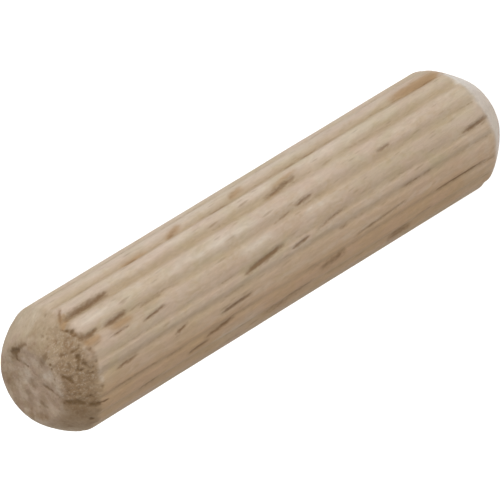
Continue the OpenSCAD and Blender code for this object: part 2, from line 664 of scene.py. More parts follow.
@dataclass(frozen=True)
class PinEnd:
    """One sawn and chamfered end.

    Args:
        chamfer: length of the chamfer along the axis, in millimetres.
        drop: how far it falls in from the lands, on the radius, in millimetres.
        crown: how far it bulges out on the radius from a straight cone, in millimetres.
        lopsided: how much shorter the chamfer is on one side than on average, in millimetres.
        short_side: turn of that side, in degrees.
        uneven: how far the shoulder wavers along the axis, in millimetres.
        soft: how far the rim of the end face is worn in, on the radius, in millimetres.
        shoulder_blend: width over which the shoulder is rounded, in millimetres.
        torn: height of the torn grain on the chamfer, in millimetres.
        torn_middle: turn of the middle of the torn stretch, in degrees.
        torn_reach: from there to where the chamfer is smooth, in degrees.
        torn_core: the share of that reach over which the chamfer is torn in full.
        least_torn: how torn the smooth side is, as a share of the torn stretch.
        seed: picks the end's own noise.
    """

    chamfer: float
    drop: float
    crown: float
    lopsided: float
    short_side: float = -45.0
    uneven: float = 0.12
    soft: float = 0.14
    shoulder_blend: float = 0.1
    torn: float = 0.06
    torn_middle: float = -8.0
    torn_reach: float = 60.0
    torn_core: float = 0.4
    least_torn: float = 0.15
    seed: int = 40

    @property
    def longest(self) -> float:
        """Length of the chamfer on its longest side, in millimetres."""
        return self.chamfer + self.lopsided

    def rim(self, radius: float) -> float:
        """Radius of the end face, in millimetres."""
        return radius - self.drop

    def shoulder(self, turn: Array) -> Array:
        """Length of the chamfer at each turn, without its small wavering, in millimetres."""
        return self.chamfer - self.lopsided * np.cos(np.radians(turn - self.short_side))

    def radius_at(self, turn: Array, inward: Array, radius: float) -> Array:
        """Radius of the turned blank near this end.

        Formula: rim + drop * t + 4 * crown * t * (1 - t), where t is the distance from the end face as a
        share of the chamfer's length, up to 1.4, less soft * exp(-2 * distance / soft) for the worn rim.
        Past the shoulder it is the pin's radius, and the two meet in a smooth minimum.

        Args:
            turn: the places' turns in degrees.
            inward: their distances from this end face, in millimetres.
            radius: the pin's radius in millimetres.

        Returns:
            The radius at each place, in millimetres.
        """
        angle = np.radians(turn)
        waver = WoodNoise((0.45, 0.45, 1.0), self.seed).at(flat_places(np.cos(angle), np.sin(angle)))
        t = np.clip(inward / (self.shoulder(turn) + self.uneven * waver), 0.0, 1.4)
        crowned = self.rim(radius) + self.drop * t + 4.0 * self.crown * t * (1.0 - t)
        worn = self.soft * np.exp(-2.0 * inward / self.soft)
        return smooth_min(crowned - worn, np.full_like(crowned, radius), self.shoulder_blend)

    def torn_share(self, turn: Array) -> Array:
        """How torn the chamfer is round the pin: the least share, and a smooth rise to 1 by the middle.

        Args:
            turn: the turns in degrees.

        Returns:
            The share at each turn.
        """
        away = np.abs(wrapped(turn - self.torn_middle))
        rise = smooth_step(self.torn_reach, self.torn_reach * self.torn_core, away)
        return self.least_torn + (1.0 - self.least_torn) * rise

    def torn_sink(self, turn: Array, inward: Array, places: Array) -> Array:
        """How far torn grain and open pores sink the surface at this end.

        Formula: the torn height times its share round the pin, times a fade past the shoulder, times a
        sum of coarse ridges, |noise|, and of pits where a finer noise passes a threshold.

        Args:
            turn: the places' turns in degrees.
            inward: their distances from the end face, in millimetres.
            places: the places themselves, in millimetres.

        Returns:
            The sink at each place, in millimetres.
        """
        ridges = np.abs(WoodNoise((0.5, 0.5, 0.8), self.seed + 1).at(places))
        pits = smooth_step(0.15, 0.8, WoodNoise((0.17, 0.17, 0.45), self.seed + 2).at(places))
        fade = smooth_step(0.15, -0.3, inward - self.shoulder(turn))
        return self.torn * self.torn_share(turn) * fade * (0.45 * ridges + 0.9 * pits)


@dataclass(frozen=True)
class SawnFace:
    """The sawn upper end face, with the hollows and stains in it and in the chamfer round it.

    Args:
        hollows: the hollows and stains.
        facets: height of the saw's facets, in millimetres.
        fuzz: height of the finer fuzz on them, in millimetres.
        swing: how far a hollow's line swings from its course over half a millimetre, in millimetres.
        swerve: how far it swerves over a sixth of a millimetre, in millimetres.
        whole: the average depth and stain of a hollow, as a share of the full ones.
        ragged: how far that share varies.
    """

    hollows: tuple[Hollow, ...] = END_HOLLOWS
    facets: float = 0.07
    fuzz: float = 0.02
    swing: float = 0.03
    swerve: float = 0.04
    whole: float = 0.9
    ragged: float = 0.5

    def relief(self, front: Array, side: Array) -> Array:
        """How far the facets and the fuzz sink the face.

        Formula: for each of them, its height times half of 1 + noise.

        Args:
            front: the places' distances from the middle of the face to the front, in millimetres.
            side: their distances towards +X.

        Returns:
            The sink at each place, in millimetres.
        """
        flat = flat_places(front, side)
        facets = 0.5 + 0.5 * WoodNoise((0.9, 0.6, 1.0), 61).at(flat)
        fuzz = 0.5 + 0.5 * WoodNoise((0.16, 0.16, 1.0), 63).at(flat)
        return self.facets * np.clip(facets, 0.0, 1.5) + self.fuzz * np.clip(fuzz, 0.0, 1.5)

    def marred(self, front: Array, side: Array) -> tuple[Array, dict[str, Array]]:
        """How far the hollows sink the upper end, and how they stain it.

        Formula: the sum of the hollows' bell curves, each times its depth, on a plane that noise bends a
        little.

        Args:
            front: the places' distances over the surface from the middle of the face to the front, in
                millimetres.
            side: their distances towards +X, measured in the same way.

        Returns:
            The sink in millimetres, and the masks of the stains by name.
        """
        flat = flat_places(front, side)
        ragged = self.whole + self.ragged * WoodNoise((0.3, 0.3, 1.0), 67).at(flat)
        swing = self.swing * WoodNoise((0.5, 0.5, 1.0), 65).at(flat)
        swerve = self.swerve * WoodNoise((0.15, 0.15, 1.0), 66, octaves=1).at(flat)
        sink = np.zeros_like(front)
        stains = {tone.value: np.zeros_like(front) for tone in Tone}
        for hollow in self.hollows:
            covered = hollow.over(front + swing + swerve, side - swing + swerve)
            over = np.clip(covered * ragged, 0.0, 1.0)
            sink += hollow.depth * over
            into = stains[hollow.tone.value]
            np.maximum(into, hollow.stain * over, out=into)
        return sink, stains


@dataclass
class DowelPin:
    """The pin: one closed skin from the middle of the upper face, down the side, to the lower face's.

    Args:
        node: the CAD node that the skin stands for.
        columns_per_flute: columns of the grid across one flute and its land.
        upper_face_rows: rows of the grid on the upper end face.
        upper_chamfer_rows: rows on the upper chamfer.
        shank_rows: rows on the shank.
        lower_chamfer_rows: rows on the lower chamfer.
        lower_face_rows: rows on the lower end face.
        past_shoulder: how far the chamfers' closer rows go on past the shoulder, in millimetres.
        flutes: the ring of flutes.
        upper: the upper end.
        lower: the lower end.
        sawn_face: the upper end face.
        front_marks: the marks on the front.
        back_marks: the marks on the sides and the back.
        lip: width over which the crossings of flutes and chamfers are rounded, in millimetres.
        fibre_relief: half the height of the fine relief of the fibres, in millimetres.
        wave_relief: half the height of the long waves in the surface, in millimetres.
        fleck_sink: how deep the dark strokes lie, in millimetres.
        clearance: how far the skin stays inside the lands' cylinder, in millimetres.
        foot_dents: how far dents rise into the lower end face, in millimetres.
        browned: the darkening of the torn chamfer.
        painted_shade_side: painted shade, the darkening of the side away from the key light.
        bright: painted rim light, the extra paleness on one side of the lower chamfer.
        less_rim_light: less of that painted rim light at its front.
        planed_and_rim_lit: the lower chamfer's paleness apart from those two: clean-cut wood with a painted
            rim light.
        edge_waver: how far the edges between the finishes waver, in millimetres.
        groove_on_ends: the flutes' painted shade on the chamfers, as a share of that on the shank.
        face_torn: how torn the upper end face looks.
        face_dull: how dull it is.
        torn_depth_shade: painted shade, how dark the deepest torn grain is made, in step with its depth.
    """

    node: str = "dowel_pin"
    columns_per_flute: int = 18
    upper_face_rows: int = 40
    upper_chamfer_rows: int = 60
    shank_rows: int = 124
    lower_chamfer_rows: int = 26
    lower_face_rows: int = 14
    past_shoulder: float = 0.4
    flutes: Flutes = Flutes()
    upper: PinEnd = PinEnd(2.3, 1.5, 0.145, 0.32, soft=0.3)
    lower: PinEnd = PinEnd(2.35, 1.6, 0.10, 0.12, torn=0.05, torn_middle=150.0, seed=77)
    sawn_face: SawnFace = SawnFace()
    front_marks: tuple[Mark, ...] = FRONT_MARKS
    back_marks: BackMarks = BackMarks()
    lip: float = 0.07
    fibre_relief: float = 0.007
    wave_relief: float = 0.008
    fleck_sink: float = 0.035
    clearance: float = 0.002
    foot_dents: float = 0.02
    browned: Sector = Sector(-34.0, 76.0, 4, 0.85)
    painted_shade_side: Sector = Sector(-54.0, 27.0, 4, 0.55)
    bright: Sector = Sector(62.0, 30.0, 2, 0.32)
    less_rim_light: Sector = Sector(0.0, 25.0, 2, 0.18)
    planed_and_rim_lit: float = 0.68
    edge_waver: float = 0.12
    groove_on_ends: float = 0.2
    face_torn: float = 0.2
    face_dull: float = 0.25
    torn_depth_shade: float = 0.35

    def __post_init__(self) -> None:
        """Takes the radius, the length and the foot's height from the CAD node's box, in millimetres."""
        low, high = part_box(self.node)
        self.radius = max(-low.x, high.x, -low.y, high.y) / MM
        self.foot = low.z / MM
        self.length = (high.z - low.z) / MM
        self.marks = self.front_marks + self.back_marks.on(self.length)

    def _grid(self) -> SkinGrid:
        """Lays out the grid, with closer rows on the ends than on the shank.

        Returns:
            The grid, from the middle of the upper face down to the middle of the lower one.
        """
        face_in = np.linspace(0.0, 1.0, self.upper_face_rows + 1)[1:]
        face_out = np.linspace(1.0, 0.0, self.lower_face_rows + 1)[:-1]
        upper = np.linspace(0.0, self.upper.longest + self.past_shoulder, self.upper_chamfer_rows + 1)
        lower_start = self.length - self.lower.longest - self.past_shoulder
        lower = np.linspace(lower_start, self.length, self.lower_chamfer_rows + 1)
        shank = np.linspace(upper[-1], lower[0], self.shank_rows + 1)
        side = np.concatenate([upper[1:], shank[1:-1], lower[:-1]])
        share = np.concatenate([face_in, np.ones(len(side)), face_out])
        down = np.concatenate([np.zeros(len(face_in)), side, np.full(len(face_out), self.length)])

        columns = self.flutes.count * self.columns_per_flute
        turn = np.broadcast_to(wrapped(np.arange(columns) * 360.0 / columns), (len(share), columns))
        share = np.broadcast_to(share[:, None], turn.shape)
        down = np.broadcast_to(down[:, None], turn.shape)
        return SkinGrid(share, turn, down, self.length - down)

    def _turned(self, grid: SkinGrid) -> tuple[Array, Array]:
        """The turned and fluted side, before the wood's own relief.

        Formula: the smooth minimum of the turned blank's radius and of the lands' radius less the flutes'
        depth, plus the quarter of its width that it takes off where the two are the same.

        Args:
            grid: the skin's grid.

        Returns:
            The radius at each point, and the radius that the flutes alone would leave, in millimetres.
        """
        fluted = self.radius - self.flutes.depth_at(grid)
        blank = np.minimum(
            self.upper.radius_at(grid.turn, grid.down, self.radius),
            self.lower.radius_at(grid.turn, grid.up, self.radius),
        )
        return smooth_min(blank, fluted, self.lip) + self.lip / 4.0, fluted

    def _side_stains(self, grid: SkinGrid) -> dict[str, Array]:
        """Stains the side with the marks. The end faces have none.

        Args:
            grid: the skin's grid.

        Returns:
            The masks by name.
        """
        stains = {tone.value: np.zeros(grid.turn.shape) for tone in Tone}
        for mark in self.marks:
            into = stains[mark.tone.value]
            np.maximum(into, mark.over(grid.turn, grid.down, self.radius), out=into)
        for stain in stains.values():
            stain[grid.on_top | grid.on_foot] = 0.0
        return stains

    def _dented(self, front: Array, side: Array) -> Array:
        """How far dents rise into the lower end face, in millimetres: less where a noise passes 0."""
        dents = WoodNoise((0.5, 0.5, 1.0), 91).at(flat_places(front, side))
        return self.foot_dents * (1.0 - smooth_step(0.0, 0.6, dents))

    def _masks(self, grid: SkinGrid, places: Array, fluted: Array) -> dict[str, Array]:
        """The masks of the cuts, the flutes' painted shade and the tones of whole sides, with painted light
        on the lit side and the lower chamfer and painted shade on the other side, before the stains.

        Args:
            grid: the skin's grid.
            places: the points on the smooth side, in millimetres.
            fluted: the radius that the flutes alone would leave, in millimetres.

        Returns:
            The masks from 0 to 1, by name.
        """
        turn, on_top = grid.turn, grid.on_top
        # How far along the axis the cuts of the chamfers and the saw reach, with wavering edges.
        edge = self.edge_waver * WoodNoise((0.4, 0.4, 0.6), 55).at(places)
        past_upper = grid.down - self.upper.shoulder(turn)
        past_lower = grid.up + edge - self.lower.shoulder(turn)
        cut_up = smooth_step(0.15, -0.5, past_upper + 2.0 * edge)
        cut_low = smooth_step(0.1, -0.1, past_lower)
        uncut = 1.0 - np.maximum(cut_up, cut_low)
        sawn = smooth_step(0.7, 0.0, grid.down + 3.0 * edge)

        # The flutes, whose depth is painted into the colour as shade, and the seams in them, which are
        # broken here and there.
        groove_shade = np.clip((self.radius - fluted) / self.flutes.depth, 0.0, 1.0)
        groove_shade_share = self.groove_on_ends + (1.0 - self.groove_on_ends) * uncut
        broken = smooth_step(-0.5, 0.6, WoodNoise((1.2, 1.2, 2.2), 57).at(places))

        # The tones of whole sides, also with wavering edges, and the lower chamfer's painted rim light.
        ragged_turn = turn + 60.0 * edge
        below_rim = smooth_step(0.0, 0.35, grid.down)
        browned = self.face_dull + (self.browned.tone(ragged_turn) - self.face_dull) * below_rim
        rim_lit_chamfer = self.planed_and_rim_lit + self.bright.tone(turn) - self.less_rim_light.tone(turn)
        return {
            # Painted shade in the bottoms of the flutes, weaker on the chamfers and none on the end face.
            "groove_shade": np.where(on_top, 0.0, groove_shade * groove_shade_share),
            "seam": self.flutes.seam_at(grid) * broken * uncut,
            "cut": cut_up,
            # Painted light: the side that faces the key light is paler.
            "pale": (0.5 + 0.5 * np.cos(np.radians(turn - 60.0))) ** 4,
            # Painted shade: the side away from the key light is darker and redder.
            "painted_shade_side": self.painted_shade_side.tone(turn),
            "torn": np.where(on_top, self.face_torn, cut_up * self.upper.torn_share(ragged_turn)),
            # Painted rim light: the lower chamfer is made near white, most on the side towards +X.
            "planed_and_rim_lit": smooth_step(0.12, -0.55, past_lower) * rim_lit_chamfer,
            "face": np.where(on_top, 1.0, sawn),
            "dull": np.where(on_top, self.face_dull, cut_up * browned),
        }

    def skin(self) -> tuple[Array, dict[str, Array]]:
        """The skin's grid of points and the masks that its finish reads.

        Formula: on the side, a point's radius is the turned and fluted one less the relief of fibres and
        waves, the torn grain, the dark strokes and the hollows. On the end faces its radius is a share of
        the rim's, and its height is the face's less the saw's relief and the hollows.

        Returns:
            The grid of points in millimetres, as rows, columns and x, y, z, and the masks by name.
        """
        grid = self._grid()
        turned, fluted = self._turned(grid)
        places = grid.places(turned)
        fibres = self.fibre_relief * (1.0 + WoodNoise((0.16, 0.16, 3.5), 21).at(places))
        waves = self.wave_relief * (1.0 + WoodNoise((1.6, 1.6, 9.0), 22).at(places))
        torn_up = self.upper.torn_sink(grid.turn, grid.down, places)
        torn_low = self.lower.torn_sink(grid.turn, grid.up, places)
        side_radius = turned - fibres - waves - torn_up - torn_low

        # Distances over the upper end's surface, from the middle of its face.
        reach, rim = grid.share * side_radius, self.upper.rim(self.radius)
        reach = np.where(grid.on_top | (reach < rim), reach, rim + np.hypot(reach - rim, grid.down))
        hollow_sink, end_stains = self.sawn_face.marred(*grid.spread(reach))
        near_end = smooth_step(0.4, 0.0, grid.down - self.upper.shoulder(grid.turn))
        stains = self._side_stains(grid)
        for name, stain in stains.items():
            np.maximum(stain, end_stains[name] * near_end, out=stain)

        strokes = self.fleck_sink * smooth_step(0.1, 0.7, stains["fleck"])
        sunk = side_radius - np.where(grid.on_top, 0.0, strokes + hollow_sink * near_end)
        radius = grid.share * np.minimum(sunk, self.radius - self.clearance)
        front, side = grid.spread(radius)
        top_sink = np.where(grid.on_top, self.sawn_face.relief(front, side) + hollow_sink, 0.0)
        inside_foot = grid.on_foot & (grid.share < 1.0)
        height = grid.up - top_sink + np.where(inside_foot, self._dented(front, side), 0.0)
        points = np.stack([side, -front, height + self.foot], axis=-1)

        masks = {**stains, **self._masks(grid, places, fluted)}
        masks["dull"] = np.maximum(stains["dull"], masks["dull"])
        # Painted shade: the torn grain is darkened in step with how deep it is torn.
        torn_depth_shade = self.torn_depth_shade * np.clip((torn_up + torn_low) / 0.1, 0.0, 1.0)
        off_faces = ~(grid.on_top | grid.on_foot)
        masks["open"] = np.maximum(stains["open"], np.where(off_faces, torn_depth_shade, 0.0))
        return points, masks

    def build(self) -> bpy.types.Object:
        """Makes the pin's mesh: the skin's grid closed round the pin, with a fan of triangles at each pole.

        Returns:
            The pin's object, riding on the part's one body and standing for its CAD node.
        """
        points, masks = self.skin()
        rows, columns = points.shape[:2]
        poles = np.array([points[0].mean(axis=0), points[-1].mean(axis=0)])
        vertices = np.concatenate([points.reshape(-1, 3), poles]) * MM
        here = np.arange(rows * columns).reshape(rows, columns)
        there = np.roll(here, -1, axis=1)
        quads = np.stack([here[:-1], here[1:], there[1:], there[:-1]], axis=-1).reshape(-1, 4)
        top, foot = rows * columns, rows * columns + 1
        top_fan = np.stack([here[0], there[0], np.full(columns, top)], axis=-1)
        foot_fan = np.stack([there[-1], here[-1], np.full(columns, foot)], axis=-1)
        loops = np.concatenate([quads.ravel(), top_fan.ravel(), foot_fan.ravel()])
        sizes = np.concatenate([np.full(len(quads), 4), np.full(2 * columns, 3)])

        mesh = bpy.data.meshes.new("fluted_pin")
        mesh.vertices.add(len(vertices))
        mesh.vertices.foreach_set("co", vertices.ravel())
        mesh.loops.add(len(loops))
        mesh.loops.foreach_set("vertex_index", loops)
        mesh.polygons.add(len(sizes))
        mesh.polygons.foreach_set("loop_start", np.concatenate([[0], np.cumsum(sizes)[:-1]]))
        mesh.polygons.foreach_set("use_smooth", np.ones(len(sizes), bool))
        mesh.update(calc_edges=True)
        mesh.validate()
        for name, mask in masks.items():
            ends = [mask[0].mean(), mask[-1].mean()]
            layer = mesh.attributes.new(name, "FLOAT", "POINT")
            layer.data.foreach_set("value", np.concatenate([mask.ravel(), ends]).astype(np.float32))

        pin = bpy.data.objects.new("fluted_pin", mesh)
        bpy.context.scene.collection.objects.link(pin)
        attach(pin, "root")
        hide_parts(self.node)
        LOG.info("%s: %d vertices, %d faces", pin.name, len(vertices), len(sizes))
        return pin


# ---------------------------------------------------------------- finishes

Colour = tuple[float, float, float]
Socket = bpy.types.NodeSocket
Value = Socket | float


class NodeSheet:
    """A node tree being filled in, with one short call for each kind of node."""

    def __init__(self, tree: bpy.types.NodeTree) -> None:
        """Starts on a tree, which is emptied."""
        self.tree = tree
        tree.nodes.clear()

    def put(self, kind: str, **settings: object) -> bpy.types.Node:
        """Adds a node.

        Args:
            kind: the node's type.
            settings: the properties to set on it, by name.

        Returns:
            The node.
        """
        node = self.tree.nodes.new(kind)
        for name, value in settings.items():
            setattr(node, name, value)
        return node

    def feed(self, value: Value | Colour, into: Socket) -> None:
        """Links a socket into another, or sets a plain value on it.

        Args:
            value: the socket to link, or the value or colour to set.
            into: the input that takes it.
        """
        if isinstance(value, bpy.types.NodeSocket):
            self.tree.links.new(value, into)
        elif isinstance(value, tuple) and len(value) == 3 and into.type == "RGBA":
            into.default_value = (*value, 1.0)
        else:
            into.default_value = value

    def maths(self, operation: str, first: Value, second: Value) -> Socket:
        """Adds a Math node.

        Args:
            operation: what it works out.
            first: its first value.
            second: its second value.

        Returns:
            The result.
        """
        node = self.put("ShaderNodeMath", operation=operation)
        self.feed(first, node.inputs[0])
        self.feed(second, node.inputs[1])
        return node.outputs[0]

    def plus(self, first: Value, second: Value) -> Socket:
        """The sum of two values."""
        return self.maths("ADD", first, second)

    def less(self, first: Value, second: Value) -> Socket:
        """The first value less the second."""
        return self.maths("SUBTRACT", first, second)

    def times(self, first: Value, second: Value) -> Socket:
        """The product of two values."""
        return self.maths("MULTIPLY", first, second)

    def most(self, first: Value, second: Value) -> Socket:
        """The larger of two values."""
        return self.maths("MAXIMUM", first, second)

    def swing(self, value: Value, height: float) -> Socket:
        """A value from 0 to 1 made to swing about 0, with its height."""
        return self.times(self.less(value, 0.5), height)

    def stepped(self, low: float, high: float, value: Socket) -> Socket:
        """Adds a smooth rise from 0 to 1 between two edges.

        Args:
            low: where the rise starts.
            high: where it ends. It may lie below low, for a fall.
            value: the value to shape.

        Returns:
            The shaped value.
        """
        node = self.put("ShaderNodeMapRange", interpolation_type="SMOOTHSTEP")
        self.feed(value, node.inputs["Value"])
        node.inputs["From Min"].default_value, node.inputs["From Max"].default_value = low, high
        return node.outputs["Result"]

    def kept(self, value: Socket) -> Socket:
        """Keeps a value between 0 and 1.

        Args:
            value: the value.

        Returns:
            The value, cut off at 0 and 1.
        """
        node = self.put("ShaderNodeClamp")
        self.feed(value, node.inputs["Value"])
        return node.outputs[0]

    def attribute(self, name: str) -> Socket:
        """A mask of the mesh, by its name."""
        return self.put("ShaderNodeAttribute", attribute_name=name).outputs["Fac"]

    def mixed(self, share: Value, first: Value | Colour, second: Value | Colour, how: str = "MIX") -> Socket:
        """Mixes two colours.

        Args:
            share: how far the second one shows.
            first: the first colour.
            second: the second colour.
            how: the way of mixing.

        Returns:
            The mixed colour.
        """
        node = self.put("ShaderNodeMix", data_type="RGBA", blend_type=how)
        self.feed(share, node.inputs["Factor"])
        self.feed(first, node.inputs[6])
        self.feed(second, node.inputs[7])
        return node.outputs[2]

    def layered(self, base: Socket | Colour, *layers: tuple[Socket, float, Socket | Colour]) -> Socket:
        """Lays colours over a base, one after another.

        Args:
            base: the colour underneath.
            layers: for each layer, the mask that says where it lies, how strongly it covers there, and
                its colour.

        Returns:
            The colour on top.
        """
        for mask, strength, colour in layers:
            base = self.mixed(mask if strength == 1.0 else self.times(mask, strength), base, colour)
        return base

    def along_grain(self, place: Socket, stretch: Socket) -> Socket:
        """Squeezes a place along the grain, so that a pattern on it comes out longer that way.

        Args:
            place: the place, whose z runs along the grain.
            stretch: how many times longer the pattern comes out.

        Returns:
            The squeezed place.
        """
        flat = self.put("ShaderNodeCombineXYZ")
        self.feed(1.0, flat.inputs[0])
        self.feed(1.0, flat.inputs[1])
        self.feed(self.maths("DIVIDE", 1.0, stretch), flat.inputs[2])
        squeezed = self.put("ShaderNodeVectorMath", operation="MULTIPLY")
        self.feed(place, squeezed.inputs[0])
        self.feed(flat.outputs[0], squeezed.inputs[1])
        return squeezed.outputs[0]

    def whiter_to_camera(self, strength: float, more: float) -> Socket:
        """A light's strength, with more added where the camera sees it directly."""
        seen = self.put("ShaderNodeLightPath").outputs["Is Camera Ray"]
        return self.plus(strength, self.times(seen, more))


class NodeGroup(NodeSheet):
    """A shader node group with named inputs and one output."""

    def __init__(self, name: str, inputs: dict[str, float], output: str) -> None:
        """Makes an empty group that takes a place and plain values.

        Args:
            name: the group's name.
            inputs: for each input after the place, its default value.
            output: the name of the output, a plain value.
        """
        super().__init__(bpy.data.node_groups.new(name, "ShaderNodeTree"))
        face = self.tree.interface
        face.new_socket("Place", in_out="INPUT", socket_type="NodeSocketVector")
        for label, value in inputs.items():
            face.new_socket(label, in_out="INPUT", socket_type="NodeSocketFloat").default_value = value
        face.new_socket(output, in_out="OUTPUT", socket_type="NodeSocketFloat")
        self.given = self.put("NodeGroupInput").outputs
        self.result = self.put("NodeGroupOutput").inputs[output]


@dataclass(frozen=True)
class Streaks:
    """Streaks that run along the grain: noise in cells far longer than wide.

    Args:
        across: streaks to a metre across the grain.
        stretch: how many times longer than wide they are.
        detail: how many finer layers they have.
        waver: how wavy they are.
    """

    across: float = 1000.0
    stretch: float = 20.0
    detail: float = 2.0
    waver: float = 0.8

    @staticmethod
    def group(inputs: dict[str, float]) -> bpy.types.NodeTree:
        """Builds the streaks' node group.

        Args:
            inputs: the default values of its inputs, by name.

        Returns:
            A group that takes a place and the inputs and gives the streaks' tone from 0 to 1.
        """
        group = NodeGroup("grain streaks", inputs, "Tone")
        noise = group.put("ShaderNodeTexNoise", noise_dimensions="3D")
        squeezed = group.along_grain(group.given["Place"], group.given["Stretch"])
        group.feed(squeezed, noise.inputs["Vector"])
        group.feed(group.given["Across"], noise.inputs["Scale"])
        group.feed(group.given["Detail"], noise.inputs["Detail"])
        group.feed(group.given["Waver"], noise.inputs["Distortion"])
        group.feed(group.stepped(0.3, 0.7, noise.outputs["Fac"]), group.result)
        return group.tree


@dataclass(frozen=True)
class Pores:
    """Short dark pores and rays: spindles round the middles of some of a pattern's stretched cells.

    Args:
        across: cells to a metre across the grain.
        stretch: how many times longer than wide they are.
        size: half a spindle's width, as a share of a cell.
        share: the share of cells that have a spindle.
    """

    across: float = 1500.0
    stretch: float = 8.0
    size: float = 0.2
    share: float = 0.5

    @staticmethod
    def group(inputs: dict[str, float]) -> bpy.types.NodeTree:
        """Builds the pores' node group.

        Args:
            inputs: the default values of its inputs, by name.

        Returns:
            A group that takes a place and the inputs and gives the pores' mask from 0 to 1.
        """
        group = NodeGroup("wood pores", inputs, "Mask")
        cells = group.put("ShaderNodeTexVoronoi", voronoi_dimensions="3D", feature="F1")
        squeezed = group.along_grain(group.given["Place"], group.given["Stretch"])
        group.feed(squeezed, cells.inputs["Vector"])
        group.feed(group.given["Across"], cells.inputs["Scale"])
        draws = group.put("ShaderNodeSeparateColor")
        group.feed(cells.outputs["Color"], draws.inputs[0])
        near = group.maths("DIVIDE", cells.outputs["Distance"], group.given["Size"])
        kept = group.maths("LESS_THAN", draws.outputs[0], group.given["Share"])
        shade = group.plus(0.45, group.times(draws.outputs[1], 0.55))
        group.feed(group.times(group.times(group.stepped(1.0, 0.35, near), kept), shade), group.result)
        return group.tree


class WoodSheet(NodeSheet):
    """A wood's node tree, whose patterns lie along the leaning grain."""

    def __init__(self, tree: bpy.types.NodeTree, lean: float) -> None:
        """Starts on a tree.

        Args:
            tree: the tree, which is emptied.
            lean: degrees that the grain leans from the axis, in the plane across the front.
        """
        super().__init__(tree)
        turned = self.put("ShaderNodeMapping", vector_type="POINT")
        turned.inputs["Rotation"].default_value = (0.0, math.radians(lean), 0.0)
        self.feed(self.put("ShaderNodeTexCoord").outputs["Object"], turned.inputs["Vector"])
        self.place = turned.outputs["Vector"]
        self.groups = {kind: kind.group(self._labelled(kind())) for kind in (Streaks, Pores)}

    @staticmethod
    def _labelled(pattern: Streaks | Pores) -> dict[str, float]:
        """A pattern's values by the names of the group's inputs."""
        return {name.capitalize(): value for name, value in asdict(pattern).items()}

    def pattern(self, pattern: Streaks | Pores) -> Socket:
        """Places the node group of a pattern, with the pattern's own values.

        Args:
            pattern: the streaks or pores.

        Returns:
            Their tone or mask, from 0 to 1.
        """
        node = self.put("ShaderNodeGroup", node_tree=self.groups[type(pattern)])
        self.feed(self.place, node.inputs["Place"])
        for label, value in self._labelled(pattern).items():
            self.feed(value, node.inputs[label])
        return node.outputs[0]


@dataclass(frozen=True)
class BeechGrain:
    """The patterns of the wood.

    Args:
        broad: wide streaks of light and dark wood.
        bands: the bands between growth rings.
        tinge: the drift of its hue.
        mottle: blotches.
        fibre: fibres.
        fine: the finest fibres.
        speckle: the furred tips of torn fibres.
        plates: patches on sawn wood.
        blots: smaller patches on sawn and torn wood.
        small: small rays.
        tiny: pores.
        specks: pits between torn fibres.
    """

    broad: Streaks = Streaks(900.0, 5.0, 2.0)
    bands: Streaks = Streaks(500.0, 2.5, 2.0)
    tinge: Streaks = Streaks(800.0, 1.7, 3.0)
    mottle: Streaks = Streaks(1900.0, 2.1, 3.0)
    fibre: Streaks = Streaks(6000.0, 5.0, 3.0)
    fine: Streaks = Streaks(10000.0, 3.0, 2.0)
    speckle: Streaks = Streaks(4200.0, 1.6, 3.0)
    plates: Streaks = Streaks(1000.0, 1.0, 2.0, 0.0)
    blots: Streaks = Streaks(1300.0, 1.3, 2.0, 0.0)
    small: Pores = Pores(1700.0, 7.0, 0.17, 0.6)
    tiny: Pores = Pores(3600.0, 7.0, 0.24, 0.55)
    specks: Pores = Pores(3300.0, 1.5, 0.40, 0.40)


